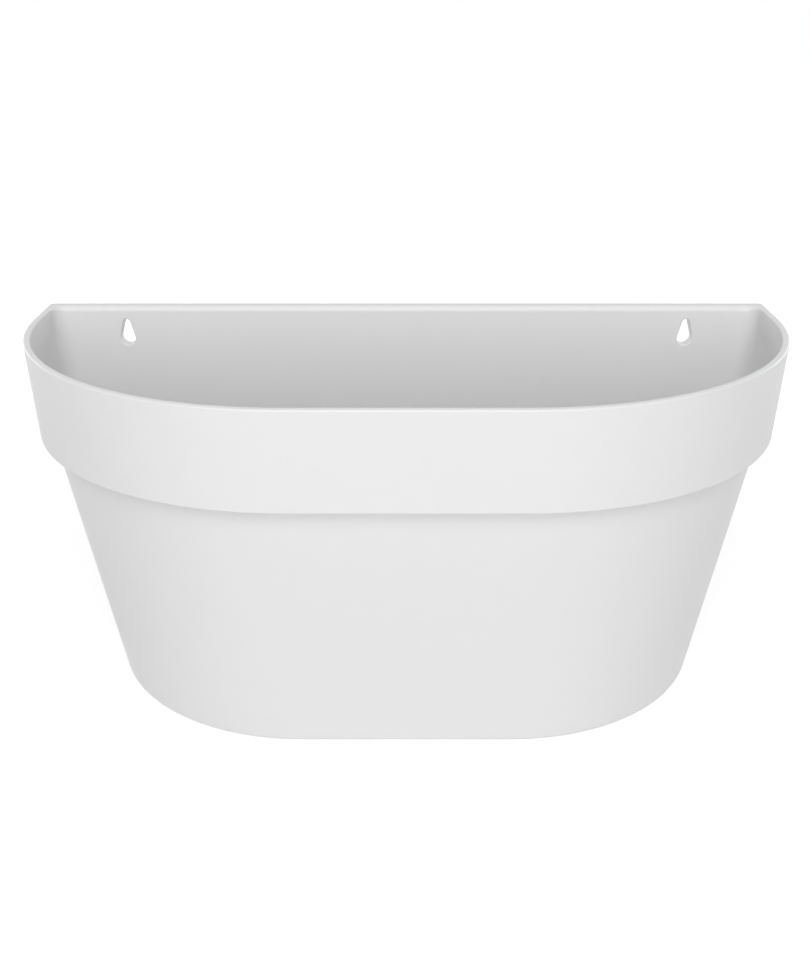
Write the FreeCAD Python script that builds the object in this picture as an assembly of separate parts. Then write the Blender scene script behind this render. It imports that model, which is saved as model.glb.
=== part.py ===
"""Half-round wall planter: a moulded shell, a lift-out reservoir grid and two drain plugs.

Millimetres, +Z up, +X to the right. The flat back is the +Y side and hangs against the wall.
The origin is on the standing plane, at the middle of the planter's bounding box.
"""

import FreeCAD, Part
import math
import os

from FreeCAD import Vector

os.makedirs("parts", exist_ok=True)

# ---- Outside of the shell -------------------------------------------------------------------
RIM_WIDTH = 460.0  # side to side at the rim
RIM_DEPTH = 207.0  # wall to the front of the rim
HEIGHT = 222.0
RIM_CORNER_R = 168.0  # plan radius of the two big front corners, at the rim
BACK_EDGE_R = 3.0  # plan radius of the two outer edges beside the wall
BAND_HEIGHT = 58.0  # rim down to the foot of the band
BAND_LEAN = 3.7  # how far the band leans in, from the rim to its foot
BAND_STEP = 7.4  # overhang of the band over the body
BODY_LEAN = 30.1  # how far the body leans in, from the band's foot to the base
BAND_FOOT_BEVEL = 0.8
BASE_ROUND = 2.5

# ---- Walls ----------------------------------------------------------------------------------
RIM_WALL = 4.3
BODY_WALL = 3.5
FLOOR = 3.5
BACK_DEPTH = 8.0  # whole thickness of the ribbed back wall
BACK_SKIN = 3.5  # its closed inner face
INNER_CORNER_R = 9.0  # plan radius where the back meets the sides, inside
RIM_ROUND = 1.1  # both edges of the rim's top face

# ---- Ribs behind the back wall --------------------------------------------------------------
BACK_FRAME = 5.0  # solid margin around the ribbed field
RIB = 2.5
RIB_PITCH = 60.0
CROSS_RIBS = 2

# ---- Keyholes for two wall screws -----------------------------------------------------------
KEYHOLE_SPACING = 360.0
SEAT_DROP = 11.0  # rim down to the centre of the narrow end, where the screw sits
KEYHOLE_LENGTH = 10.2  # narrow end's centre to wide end's centre
SEAT_R = 2.1
HEAD_R = 4.65  # wide end, which passes the screw's head
KEYHOLE_BOSS = 4.0  # solid margin around the hole
KEYHOLE_BEVEL = 0.7

# ---- Base: standing ring and raised floor panel ---------------------------------------------
STANDING_RING = 14.0
PANEL_RISE = 6.0
PANEL_CORNER_R = 8.0

# ---- Drain and overflow tubes, and the plugs in them ----------------------------------------
TUBE_SPACING = 250.0
TUBE_FROM_WALL = 88.0
TUBE_BORE_R = 6.0
TUBE_WALL = 2.4
OVERFLOW = 22.0  # tube's height above the floor panel
PLUG_GAP = 0.05  # all round the stem
PLUG_FLANGE_R = 10.5
PLUG_FLANGE = 2.0
PLUG_STEM = 14.0
PLUG_WALL = 1.8
PLUG_NOSE = 1.0  # chamfer on the stem's leading end
GRIP_LENGTH = 15.0
GRIP_WIDTH = 3.0
GRIP_DROP = 2.5

# ---- Lift-out grid --------------------------------------------------------------------------
RESERVOIR = 32.0  # floor panel to the grid's underside
GRID = 2.6
GRID_GAP = 1.5  # to the walls
SKIRT_DROP = 2.0
SKIRT_WALL = 2.0
WELL_SPACING = 120.0
WELL_FROM_WALL = 88.0
WELL_MOUTH_R = 27.0
WELL_FOOT_R = 21.0
WELL_WALL = 2.0
WELL_SLITS = 8
SLIT_WIDTH = 2.4
SLIT_MARGIN = 6.0  # whole wall left above and below each slit
LEG_R = 6.0
LEG_WALL = 1.8
LEG_INSET = 12.0  # leg's centre to the edge of the floor panel
LEG_ANGLE = 58.0  # of the corner legs, turned from the side towards the front
SLOT_LENGTH = 28.0
SLOT_WIDTH = 4.5
SLOT_PITCH_X = 36.0
SLOT_PITCH_Y = 13.0
SLOT_MARGIN = 5.0  # whole plate left around each slot

# ---- Places worked out from the sizes -------------------------------------------------------
back_y = RIM_DEPTH / 2
front_y = back_y - RIM_DEPTH
corner_x = RIM_WIDTH / 2 - RIM_CORNER_R
corner_y = front_y + RIM_CORNER_R
band_foot_z = HEIGHT - BAND_HEIGHT
ledge_z = band_foot_z + BODY_WALL
inner_back_y = back_y - BACK_DEPTH
seat_z = HEIGHT - SEAT_DROP
head_z = seat_z - KEYHOLE_LENGTH
panel_top_z = PANEL_RISE + FLOOR
tube_y = back_y - TUBE_FROM_WALL
well_y = back_y - WELL_FROM_WALL
grid_z = panel_top_z + RESERVOIR
grid_top_z = grid_z + GRID
keyhole_xs = (-KEYHOLE_SPACING / 2, KEYHOLE_SPACING / 2)
tube_xs = (-TUBE_SPACING / 2, TUBE_SPACING / 2)
well_xs = (-WELL_SPACING / 2, WELL_SPACING / 2)

OVERCUT = 1.0  # how far a cutter reaches past the face that it opens
CLOSE = 0.01  # two heights or insets nearer than this are the same


# ---- Shapes used more than once -------------------------------------------------------------
def band_inset(z):
    """How far the band's face lies inside the rim's outline at height z."""
    return BAND_LEAN * (HEIGHT - z) / BAND_HEIGHT


def body_inset(z):
    """How far the body's face lies inside the rim's outline at height z."""
    return BAND_LEAN + BAND_STEP + BODY_LEAN * (band_foot_z - z) / band_foot_z


def rim_inset(x, y):
    """How far a plan point lies inside the rim's outline, the back edge left aside."""
    if y > corner_y:
        return RIM_WIDTH / 2 - abs(x)
    if abs(x) < corner_x:
        return y - front_y
    return RIM_CORNER_R - math.hypot(abs(x) - corner_x, corner_y - y)


def outline(z, inset):
    """Plan of the planter, inset from the rim. Its straight sides run on past the wall."""
    side = RIM_WIDTH / 2 - inset
    corner_r = RIM_CORNER_R - inset
    reach = corner_r * math.sqrt(0.5)
    past_wall = back_y + RIM_DEPTH

    def at(x, y):
        return Vector(x, y, z)

    front_right = at(corner_x, corner_y - corner_r)
    front_left = at(-corner_x, corner_y - corner_r)
    edges = [
        Part.LineSegment(at(side, past_wall), at(side, corner_y)),
        Part.Arc(at(side, corner_y), at(corner_x + reach, corner_y - reach), front_right),
        Part.LineSegment(front_right, front_left),
        Part.Arc(front_left, at(-corner_x - reach, corner_y - reach), at(-side, corner_y)),
        Part.LineSegment(at(-side, corner_y), at(-side, past_wall)),
        Part.LineSegment(at(-side, past_wall), at(side, past_wall)),
    ]
    return Part.Wire([edge.toShape() for edge in edges])


def centred_box(size, centre_x, centre_y, low_z):
    corner = Vector(centre_x - size[0] / 2, centre_y - size[1] / 2, low_z)
    return Part.makeBox(*size, corner)


def edges_where(shape, test):
    """Edges whose two ends and middle all pass the test."""
    picked = []
    for edge in shape.Edges:
        middle = edge.valueAt((edge.FirstParameter + edge.LastParameter) / 2)
        points = [vertex.Point for vertex in edge.Vertexes] + [middle]
        if all(test(point) for point in points):
            picked.append(edge)
    return picked


def half_round(low_z, high_z, inset_at, rear_y, rear_r=0):
    """Solid with leaning sides and front and a flat back; inset_at(z) gives the lean."""
    plans = [outline(z, inset_at(z)) for z in (low_z, high_z)]
    wall_space = (3 * RIM_WIDTH, 3 * RIM_DEPTH, 3 * HEIGHT)
    behind = centred_box(wall_space, 0, rear_y + wall_space[1] / 2, -HEIGHT)
    solid = Part.makeLoft(plans, True, True).cut(behind)
    if not rear_r:
        return solid
    in_back = edges_where(solid, lambda p: abs(p.y - rear_y) < CLOSE)
    upright = [e for e in in_back if abs(e.Vertexes[0].Z - e.Vertexes[-1].Z) > CLOSE]
    return solid.makeFillet(rear_r, upright)


def teardrop(x, low_y, high_y, margin=0):
    """Prism along Y: a wide circle below that narrows to a slim one above."""
    wide_r = HEAD_R + margin
    slim_r = SEAT_R + margin
    lean = math.asin((wide_r - slim_r) / KEYHOLE_LENGTH)

    def rim_points(centre_z, radius, angles):
        return [
            Vector(x + radius * math.cos(a), low_y, centre_z + radius * math.sin(a)) for a in angles
        ]

    wide = rim_points(head_z, wide_r, (lean, -math.pi / 2, math.pi - lean))
    slim = rim_points(seat_z, slim_r, (math.pi - lean, math.pi / 2, lean))
    edges = [
        Part.Arc(*wide),
        Part.LineSegment(wide[-1], slim[0]),
        Part.Arc(*slim),
        Part.LineSegment(slim[-1], wide[0]),
    ]
    face = Part.Face(Part.Wire([edge.toShape() for edge in edges]))
    return face.extrude(Vector(0, high_y - low_y, 0))


def turned(x, y, profile):
    """Solid of revolution about the upright line at x, y, from (radius, z) points."""
    points = [Vector(x + radius, y, z) for radius, z in profile]
    face = Part.Face(Part.makePolygon(points + points[:1]))
    return face.revolve(Vector(x, y, 0), Vector(0, 0, 1), 360)


def tube(x, y, hollow_r, wall, low_z, high_z):
    """Upright tube, or a plain cylinder where hollow_r is 0."""
    outer_r = hollow_r + wall
    profile = [(hollow_r, low_z), (outer_r, low_z), (outer_r, high_z), (hollow_r, high_z)]
    return turned(x, y, profile)


# ---- Planter shell --------------------------------------------------------------------------
def outer_form():
    """Body under an overhanging band, with the base rounded over and the band's foot bevelled."""
    body = half_round(0, band_foot_z, body_inset, back_y, BACK_EDGE_R)
    body = body.makeFillet(BASE_ROUND, edges_where(body, lambda p: abs(p.z) < CLOSE))

    band = half_round(band_foot_z, HEIGHT, band_inset, back_y)
    at_foot = edges_where(band, lambda p: abs(p.z - band_foot_z) < CLOSE)
    leaning = [e for e in at_foot if min(v.Y for v in e.Vertexes) < back_y - CLOSE]
    band = band.makeChamfer(BAND_FOOT_BEVEL, leaning)
    band = band.common(half_round(band_foot_z, HEIGHT, band_inset, back_y, BACK_EDGE_R))
    return body.fuse(band).removeSplitter()


def cavity():
    """Inside of the shell: wide in the band, stepping in to the body, flat at the back."""

    def in_band(z):
        return band_inset(z) + RIM_WALL

    def in_body(z):
        return body_inset(z) + BODY_WALL

    lower = half_round(FLOOR, ledge_z, in_body, inner_back_y, INNER_CORNER_R)
    upper = half_round(ledge_z, HEIGHT + OVERCUT, in_band, inner_back_y, INNER_CORNER_R)
    return lower.fuse(upper).removeSplitter()


def floor_panel():
    """Raised middle of the floor, and the hollow that it leaves under the planter."""
    edge_inset = body_inset(0) + STANDING_RING
    rear_y = inner_back_y + BODY_WALL - STANDING_RING
    block = half_round(
        0, panel_top_z, lambda z: edge_inset - FLOOR, rear_y + FLOOR, PANEL_CORNER_R + FLOOR
    )
    hollow = half_round(-OVERCUT, PANEL_RISE, lambda z: edge_inset, rear_y, PANEL_CORNER_R)
    return block, hollow


def back_pockets():
    """Cells cut into the back wall from behind, between its ribs and the keyhole bosses."""
    low_z = panel_top_z + BACK_FRAME
    step_z = band_foot_z + BACK_FRAME
    high_z = HEIGHT - BACK_FRAME
    skin_y = inner_back_y + BACK_SKIN

    def right_edge(inset_at, z):
        return RIM_WIDTH / 2 - inset_at(z) - BACK_FRAME, z

    right = [
        right_edge(body_inset, low_z),
        right_edge(body_inset, step_z),
        right_edge(band_inset, step_z),
        right_edge(band_inset, high_z),
    ]
    corners = right + [(-x, z) for x, z in reversed(right)]
    points = [Vector(x, skin_y, z) for x, z in corners]
    field = Part.Face(Part.makePolygon(points + points[:1]))
    field = field.extrude(Vector(0, back_y + OVERCUT - skin_y, 0))

    ribs_each_side = int(RIM_WIDTH / 2 // RIB_PITCH)
    ribs = [
        centred_box((RIB, 3 * BACK_DEPTH, HEIGHT), n * RIB_PITCH, back_y, 0)
        for n in range(-ribs_each_side, ribs_each_side + 1)
    ]
    row = (high_z - low_z) / (CROSS_RIBS + 1)
    for n in range(1, CROSS_RIBS + 1):
        cross_z = low_z + n * row - RIB / 2
        ribs.append(centred_box((RIM_WIDTH, 3 * BACK_DEPTH, RIB), 0, back_y, cross_z))
    bosses = [teardrop(x, inner_back_y, back_y + 2 * OVERCUT, KEYHOLE_BOSS) for x in keyhole_xs]
    return field.cut(ribs + bosses)


def rounded_rim(shape):
    """Round the rim's edges. Along the back wall the inner one takes up its extra depth."""
    back_round = BACK_DEPTH - RIM_WALL
    radii = []
    for number, edge in enumerate(shape.Edges, start=1):
        if any(abs(v.Z - HEIGHT) > CLOSE for v in edge.Vertexes):
            continue
        first, last = (v.Y > inner_back_y - CLOSE for v in (edge.Vertexes[0], edge.Vertexes[-1]))
        inner = all(rim_inset(v.X, v.Y) > RIM_WALL - CLOSE for v in edge.Vertexes)
        inner = inner and all(v.Y < inner_back_y + CLOSE for v in edge.Vertexes)
        ends = [back_round if inner and at_back else RIM_ROUND for at_back in (first, last)]
        radii.append((number, *ends))
    document = FreeCAD.newDocument()
    base = document.addObject("Part::Feature")
    base.Shape = shape
    rounding = document.addObject("Part::Fillet")
    rounding.Base = base
    rounding.Edges = radii
    document.recompute()
    return rounding.Shape


def bevelled_keyholes(shape):
    """Bevel the keyholes' edges on the soil side, where the screw heads slide."""

    def at_mouth(point):
        beside = min(abs(point.x - x) for x in keyhole_xs)
        level = head_z - HEAD_R - CLOSE < point.z < seat_z + SEAT_R + CLOSE
        return level and beside < HEAD_R + CLOSE and abs(point.y - inner_back_y) < CLOSE

    return shape.makeChamfer(KEYHOLE_BEVEL, edges_where(shape, at_mouth))


def planter_shell():
    tub = rounded_rim(outer_form().cut(cavity()))
    panel, hollow = floor_panel()
    tube_top_z = panel_top_z + OVERFLOW
    posts = [tube(x, tube_y, TUBE_BORE_R, TUBE_WALL, 0, tube_top_z) for x in tube_xs]
    drains = [tube(x, tube_y, 0, TUBE_BORE_R, 0, panel_top_z + OVERCUT) for x in tube_xs]
    keyholes = [teardrop(x, inner_back_y - OVERCUT, back_y + OVERCUT) for x in keyhole_xs]
    tub = tub.fuse([panel] + posts)
    tub = tub.cut([hollow, back_pockets()] + drains + keyholes)
    return bevelled_keyholes(tub.removeSplitter())


# ---- Reservoir grid -------------------------------------------------------------------------
def tray():
    """Plate with a stiffening skirt that follows the inside of the shell."""

    def edge(z):
        return body_inset(z) + BODY_WALL + GRID_GAP

    rear_y = inner_back_y - GRID_GAP
    skirt_z = grid_z - SKIRT_DROP
    rear_r = INNER_CORNER_R - GRID_GAP
    whole = half_round(skirt_z, grid_top_z, edge, rear_y, rear_r)
    under = half_round(
        skirt_z - OVERCUT,
        grid_z,
        lambda z: edge(z) + SKIRT_WALL,
        rear_y - SKIRT_WALL,
        rear_r - SKIRT_WALL,
    )
    return whole.cut(under)


def leg_places():
    """Legs in the four corners of the floor panel."""
    panel_inset = body_inset(0) + STANDING_RING - FLOOR + LEG_INSET
    panel_rear_y = inner_back_y + BODY_WALL - STANDING_RING + FLOOR - LEG_INSET
    corner_r = RIM_CORNER_R - panel_inset
    angle = math.radians(LEG_ANGLE)
    right = [
        (RIM_WIDTH / 2 - panel_inset, panel_rear_y),
        (corner_x + corner_r * math.cos(angle), corner_y - corner_r * math.sin(angle)),
    ]
    return right + [(-x, y) for x, y in right]


def slot_places():
    """Slot centres in rows over the plate, clear of its edge, the wells and the legs."""
    plate_inset = body_inset(grid_z) + BODY_WALL + GRID_GAP
    edge_inset = plate_inset + SKIRT_WALL + SLOT_MARGIN
    rear_y = inner_back_y - GRID_GAP - SKIRT_WALL - SLOT_MARGIN
    half_length = SLOT_LENGTH / 2
    half_width = SLOT_WIDTH / 2
    round_places = [(x, well_y, WELL_MOUTH_R) for x in well_xs]
    round_places += [(x, y, LEG_R) for x, y in leg_places()]

    def clear(x, y):
        ends = [(x + half_length * sx, y + half_width * sy) for sx in (-1, 1) for sy in (-1, 1)]
        if any(rim_inset(*end) < edge_inset or end[1] > rear_y for end in ends):
            return False
        for round_x, round_y, radius in round_places:
            beside = max(abs(x - round_x) - half_length, 0)
            before = max(abs(y - round_y) - half_width, 0)
            if math.hypot(beside, before) < radius + SLOT_MARGIN:
                return False
        return True

    columns = int(RIM_WIDTH / 2 // SLOT_PITCH_X)
    rows = int(RIM_DEPTH // SLOT_PITCH_Y)
    xs = [n * SLOT_PITCH_X for n in range(-columns, columns + 1)]
    ys = [rear_y - half_width - n * SLOT_PITCH_Y for n in range(rows)]
    return [(x, y) for y in ys for x in xs if clear(x, y)]


def well_forms(x):
    """Outside and inside of one wick well, a cup that stands on the floor panel."""
    lean = (WELL_MOUTH_R - WELL_FOOT_R) / (grid_top_z - panel_top_z)
    floor_z = panel_top_z + WELL_WALL
    open_z = grid_top_z + OVERCUT
    foot_r = WELL_FOOT_R + lean * WELL_WALL - WELL_WALL
    mouth_r = WELL_MOUTH_R + lean * OVERCUT - WELL_WALL
    outside = [(0, panel_top_z), (WELL_FOOT_R, panel_top_z), (WELL_MOUTH_R, grid_top_z)]
    inside = [(0, floor_z), (foot_r, floor_z), (mouth_r, open_z)]
    cup = turned(x, well_y, outside + [(0, grid_top_z)])
    return cup, turned(x, well_y, inside + [(0, open_z)])


def slit_cutters(x):
    """Upright slits round one wick well, which let the water in to the soil."""
    low_z = panel_top_z + SLIT_MARGIN
    height = grid_z - SLIT_MARGIN - low_z
    cutters = []
    for n in range(WELL_SLITS):
        slit = centred_box((WELL_MOUTH_R, SLIT_WIDTH, height), x + WELL_MOUTH_R, well_y, low_z)
        turn = (n + 0.5) * 360 / WELL_SLITS
        cutters.append(slit.rotate(Vector(x, well_y, 0), Vector(0, 0, 1), turn))
    return cutters


def reservoir_grid():
    legs = [tube(x, y, LEG_R - LEG_WALL, LEG_WALL, panel_top_z, grid_z) for x, y in leg_places()]
    wells = [well_forms(x) for x in well_xs]
    solid = tray().fuse(legs + [cup for cup, _ in wells])
    cutters = [hollow for _, hollow in wells]
    slot = (SLOT_LENGTH, SLOT_WIDTH, GRID + 2 * OVERCUT)
    cutters += [centred_box(slot, x, y, grid_z - OVERCUT) for x, y in slot_places()]
    for x in well_xs:
        cutters += slit_cutters(x)
    return solid.cut(cutters).removeSplitter()


# ---- Drain plugs ----------------------------------------------------------------------------
def drain_plug(x):
    """Flange under the floor panel, hollow stem up the tube, and a bar to pull it by."""
    stem_r = TUBE_BORE_R - PLUG_GAP
    flange_z = PANEL_RISE - PLUG_FLANGE
    tip_z = PANEL_RISE + PLUG_STEM
    profile = [
        (0, flange_z),
        (PLUG_FLANGE_R, flange_z),
        (PLUG_FLANGE_R, PANEL_RISE),
        (stem_r, PANEL_RISE),
        (stem_r, tip_z - PLUG_NOSE),
        (stem_r - PLUG_NOSE, tip_z),
        (stem_r - PLUG_WALL, tip_z),
        (stem_r - PLUG_WALL, PANEL_RISE),
        (0, PANEL_RISE),
    ]
    grip = centred_box((GRIP_LENGTH, GRIP_WIDTH, GRIP_DROP), x, tube_y, flange_z - GRIP_DROP)
    return turned(x, tube_y, profile).fuse(grip).removeSplitter()


# ---- The planter ----------------------------------------------------------------------------
pieces = {
    "planter_shell": planter_shell(),
    "reservoir_grid": reservoir_grid(),
    "drain_plug_left": drain_plug(tube_xs[0]),
    "drain_plug_right": drain_plug(tube_xs[1]),
}
for name, shape in pieces.items():
    shape.exportStep(f"parts/{name}.step")
    print(f"{name}: {len(shape.Solids)} solid, {shape.Volume / 1000:.1f} cm3, valid {shape.isValid()}")
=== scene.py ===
"""Looks of the half-round wall planter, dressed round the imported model. Metres, +Z up."""

import math

import bpy
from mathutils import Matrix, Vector


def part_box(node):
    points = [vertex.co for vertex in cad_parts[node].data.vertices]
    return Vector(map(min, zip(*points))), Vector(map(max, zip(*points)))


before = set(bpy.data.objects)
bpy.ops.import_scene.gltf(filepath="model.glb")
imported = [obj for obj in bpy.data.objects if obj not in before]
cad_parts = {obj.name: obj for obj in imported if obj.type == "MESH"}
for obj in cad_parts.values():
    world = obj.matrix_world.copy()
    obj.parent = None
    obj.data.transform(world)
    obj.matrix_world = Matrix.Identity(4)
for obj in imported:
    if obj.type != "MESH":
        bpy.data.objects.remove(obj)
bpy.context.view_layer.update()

_, shell_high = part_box("planter_shell")
back_y = shell_high.y

# ---- Camera, from the photograph's perspective -------------------------------------------------
PHOTO_SIZE = (810, 978)
FOCAL_PX = 1209.4
PRINCIPAL_PX = (406.25, 487.5)
CAMERA_FROM_WALL = 0.7658
CAMERA_HEIGHT = 0.4203
CAMERA_DOWN = math.radians(23.2)
SENSOR = 0.036


def make_camera():
    """The photograph's view: level sideways, looking down a little at the rim."""
    data = bpy.data.cameras.new("photo_camera")
    data.sensor_width = SENSOR * 1000
    long_side = max(PHOTO_SIZE)
    data.lens = FOCAL_PX * data.sensor_width / long_side
    data.shift_x = (PHOTO_SIZE[0] / 2 - PRINCIPAL_PX[0]) / long_side
    data.shift_y = (PRINCIPAL_PX[1] - PHOTO_SIZE[1] / 2) / long_side
    camera = bpy.data.objects.new("photo_camera", data)
    camera.location = (0, back_y - CAMERA_FROM_WALL, CAMERA_HEIGHT)
    camera.rotation_euler = (math.pi / 2 - CAMERA_DOWN, 0, 0)
    bpy.context.scene.collection.objects.link(camera)
    bpy.context.scene.camera = camera


# ---- Materials ----------------------------------------------------------------------------------
def new_material(name):
    material = bpy.data.materials.new(name)
    material.use_nodes = True
    nodes = material.node_tree.nodes
    return material, nodes, material.node_tree.links, nodes["Principled BSDF"]


def moulded_plastic(name, colour, roughness, grain):
    """Moulded plastic: fine spark-eroded grain, a trace of mottling in colour and gloss."""
    material, nodes, links, shader = new_material(name)
    shader.inputs["IOR"].default_value = 1.49
    place = nodes.new("ShaderNodeTexCoord")

    speckle = nodes.new("ShaderNodeTexNoise")
    speckle.inputs["Scale"].default_value = 900.0
    speckle.inputs["Detail"].default_value = 3.0
    links.new(place.outputs["Object"], speckle.inputs["Vector"])
    bump = nodes.new("ShaderNodeBump")
    bump.inputs["Strength"].default_value = grain
    bump.inputs["Distance"].default_value = 0.0002
    links.new(speckle.outputs["Fac"], bump.inputs["Height"])
    links.new(bump.outputs["Normal"], shader.inputs["Normal"])

    mottle = nodes.new("ShaderNodeTexNoise")
    mottle.inputs["Scale"].default_value = 14.0
    mottle.inputs["Detail"].default_value = 4.0
    links.new(place.outputs["Object"], mottle.inputs["Vector"])
    tint = nodes.new("ShaderNodeMix")
    tint.data_type = "RGBA"
    tint.inputs["A"].default_value = (*[c * 0.985 for c in colour], 1)
    tint.inputs["B"].default_value = (*colour, 1)
    links.new(mottle.outputs["Fac"], tint.inputs["Factor"])
    links.new(tint.outputs["Result"], shader.inputs["Base Color"])
    gloss = nodes.new("ShaderNodeMapRange")
    gloss.inputs["To Min"].default_value = roughness - 0.04
    gloss.inputs["To Max"].default_value = roughness + 0.04
    links.new(mottle.outputs["Fac"], gloss.inputs["Value"])
    links.new(gloss.outputs["Result"], shader.inputs["Roughness"])
    return material


def dress(node, material):
    """Give a CAD node its material."""
    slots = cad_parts[node].data.materials
    slots.clear()
    slots.append(material)


# ---- Stage and light ----------------------------------------------------------------------------
FLOOR_REACH = 6.0
FLOOR_GREY = 0.75
FLOOR_GLOW_NEAR = 0.5
FLOOR_GLOW_FAR = 1.0
GLOW_FADE = (0.35, 1.2)
FILL_FRONT = 0.45
FILL_BEHIND = 0.2
LIT_POINT = (0, 0, 0.12)
SOFT_BOXES = (
    ("front", (0, -2.4, 0.75), (1.6, 0.9), 12.5),
    ("high", (0, -1.5, 1.6), (1.4, 0.9), 15),
    ("over", (0, 0, 1.2), (0.9, 0.5), 0.8),
    ("behind_left", (-1.6, 1.6, 0.7), (1.0, 0.8), 8),
    ("behind_right", (1.6, 1.6, 0.7), (1.0, 0.8), 8),
)


def for_camera(tree, plain, seen):
    """Shader that shows `seen` to the camera and in mirrored or clear rays, and else `plain`."""
    nodes, links = tree.nodes, tree.links
    rays = nodes.new("ShaderNodeLightPath")
    direct = rays.outputs["Is Camera Ray"]
    for kind in ("Is Glossy Ray", "Is Transmission Ray"):
        either = nodes.new("ShaderNodeMath")
        either.operation = "MAXIMUM"
        links.new(direct, either.inputs[0])
        links.new(rays.outputs[kind], either.inputs[1])
        direct = either.outputs["Value"]
    choose = nodes.new("ShaderNodeMixShader")
    links.new(direct, choose.inputs["Fac"])
    links.new(plain, choose.inputs[1])
    links.new(seen, choose.inputs[2])
    return choose.outputs["Shader"]


def pale_floor():
    """A plain pale floor that the camera sees white, except for the planter's shadow close by."""
    mesh = bpy.data.meshes.new("floor")
    corners = [(-FLOOR_REACH, -FLOOR_REACH, 0), (FLOOR_REACH, -FLOOR_REACH, 0)]
    corners += [(FLOOR_REACH, FLOOR_REACH, 0), (-FLOOR_REACH, FLOOR_REACH, 0)]
    mesh.from_pydata(corners, [], [(0, 1, 2, 3)])
    floor = bpy.data.objects.new("floor", mesh)
    bpy.context.scene.collection.objects.link(floor)
    material, nodes, links, shader = new_material("pale_floor")
    shader.inputs["Base Color"].default_value = (FLOOR_GREY, FLOOR_GREY, FLOOR_GREY, 1)
    shader.inputs["Roughness"].default_value = 0.9
    glow = nodes.new("ShaderNodeEmission")
    place = nodes.new("ShaderNodeTexCoord")
    reach = nodes.new("ShaderNodeVectorMath")
    reach.operation = "LENGTH"
    links.new(place.outputs["Object"], reach.inputs[0])
    fade = nodes.new("ShaderNodeMapRange")
    fade.inputs["From Min"].default_value, fade.inputs["From Max"].default_value = GLOW_FADE
    fade.inputs["To Min"].default_value = FLOOR_GLOW_NEAR
    fade.inputs["To Max"].default_value = FLOOR_GLOW_FAR
    links.new(reach.outputs["Value"], fade.inputs["Value"])
    links.new(fade.outputs["Result"], glow.inputs["Strength"])
    lit = nodes.new("ShaderNodeAddShader")
    links.new(shader.outputs["BSDF"], lit.inputs[0])
    links.new(glow.outputs["Emission"], lit.inputs[1])
    surface = for_camera(material.node_tree, shader.outputs["BSDF"], lit.outputs["Shader"])
    links.new(surface, nodes["Material Output"].inputs["Surface"])
    mesh.materials.append(material)


def area_light(name, place, aim, size, power):
    data = bpy.data.lights.new(name, "AREA")
    data.shape = "RECTANGLE"
    data.size, data.size_y = size
    data.energy = power
    light = bpy.data.objects.new(name, data)
    light.location = place
    light.rotation_euler = (Vector(aim) - Vector(place)).to_track_quat("-Z", "Y").to_euler()
    bpy.context.scene.collection.objects.link(light)


def studio_light():
    """Soft boxes and a fill that is stronger in front. The camera sees a white backdrop."""
    world = bpy.data.worlds.new("studio")
    world.use_nodes = True
    bpy.context.scene.world = world
    nodes, links = world.node_tree.nodes, world.node_tree.links
    fill = nodes["Background"]
    fill.inputs["Color"].default_value = (1, 1, 1, 1)
    direction = nodes.new("ShaderNodeTexCoord")
    split = nodes.new("ShaderNodeSeparateXYZ")
    links.new(direction.outputs["Generated"], split.inputs["Vector"])
    strength = nodes.new("ShaderNodeMapRange")
    strength.inputs["From Min"].default_value = -1.0
    strength.inputs["To Min"].default_value = FILL_FRONT
    strength.inputs["To Max"].default_value = FILL_BEHIND
    links.new(split.outputs["Y"], strength.inputs["Value"])
    links.new(strength.outputs["Result"], fill.inputs["Strength"])
    white = nodes.new("ShaderNodeBackground")
    white.inputs["Color"].default_value = (1, 1, 1, 1)
    surface = for_camera(
        world.node_tree, fill.outputs["Background"], white.outputs["Background"]
    )
    links.new(surface, nodes["World Output"].inputs["Surface"])
    for name, place, size, power in SOFT_BOXES:
        area_light(name, place, LIT_POINT, size, power)


make_camera()
shell_material = moulded_plastic("white_plastic", (0.88, 0.88, 0.88), 0.42, 0.3)
grid_material = moulded_plastic("grey_plastic", (0.34, 0.35, 0.35), 0.5, 0.1)
plug_material = moulded_plastic("soft_plug", (0.03, 0.03, 0.033), 0.6, 0.2)
dress("planter_shell", shell_material)
dress("reservoir_grid", grid_material)
for side in ("left", "right"):
    dress(f"drain_plug_{side}", plug_material)
pale_floor()
studio_light()
bpy.context.scene.view_settings.view_transform = "Standard"
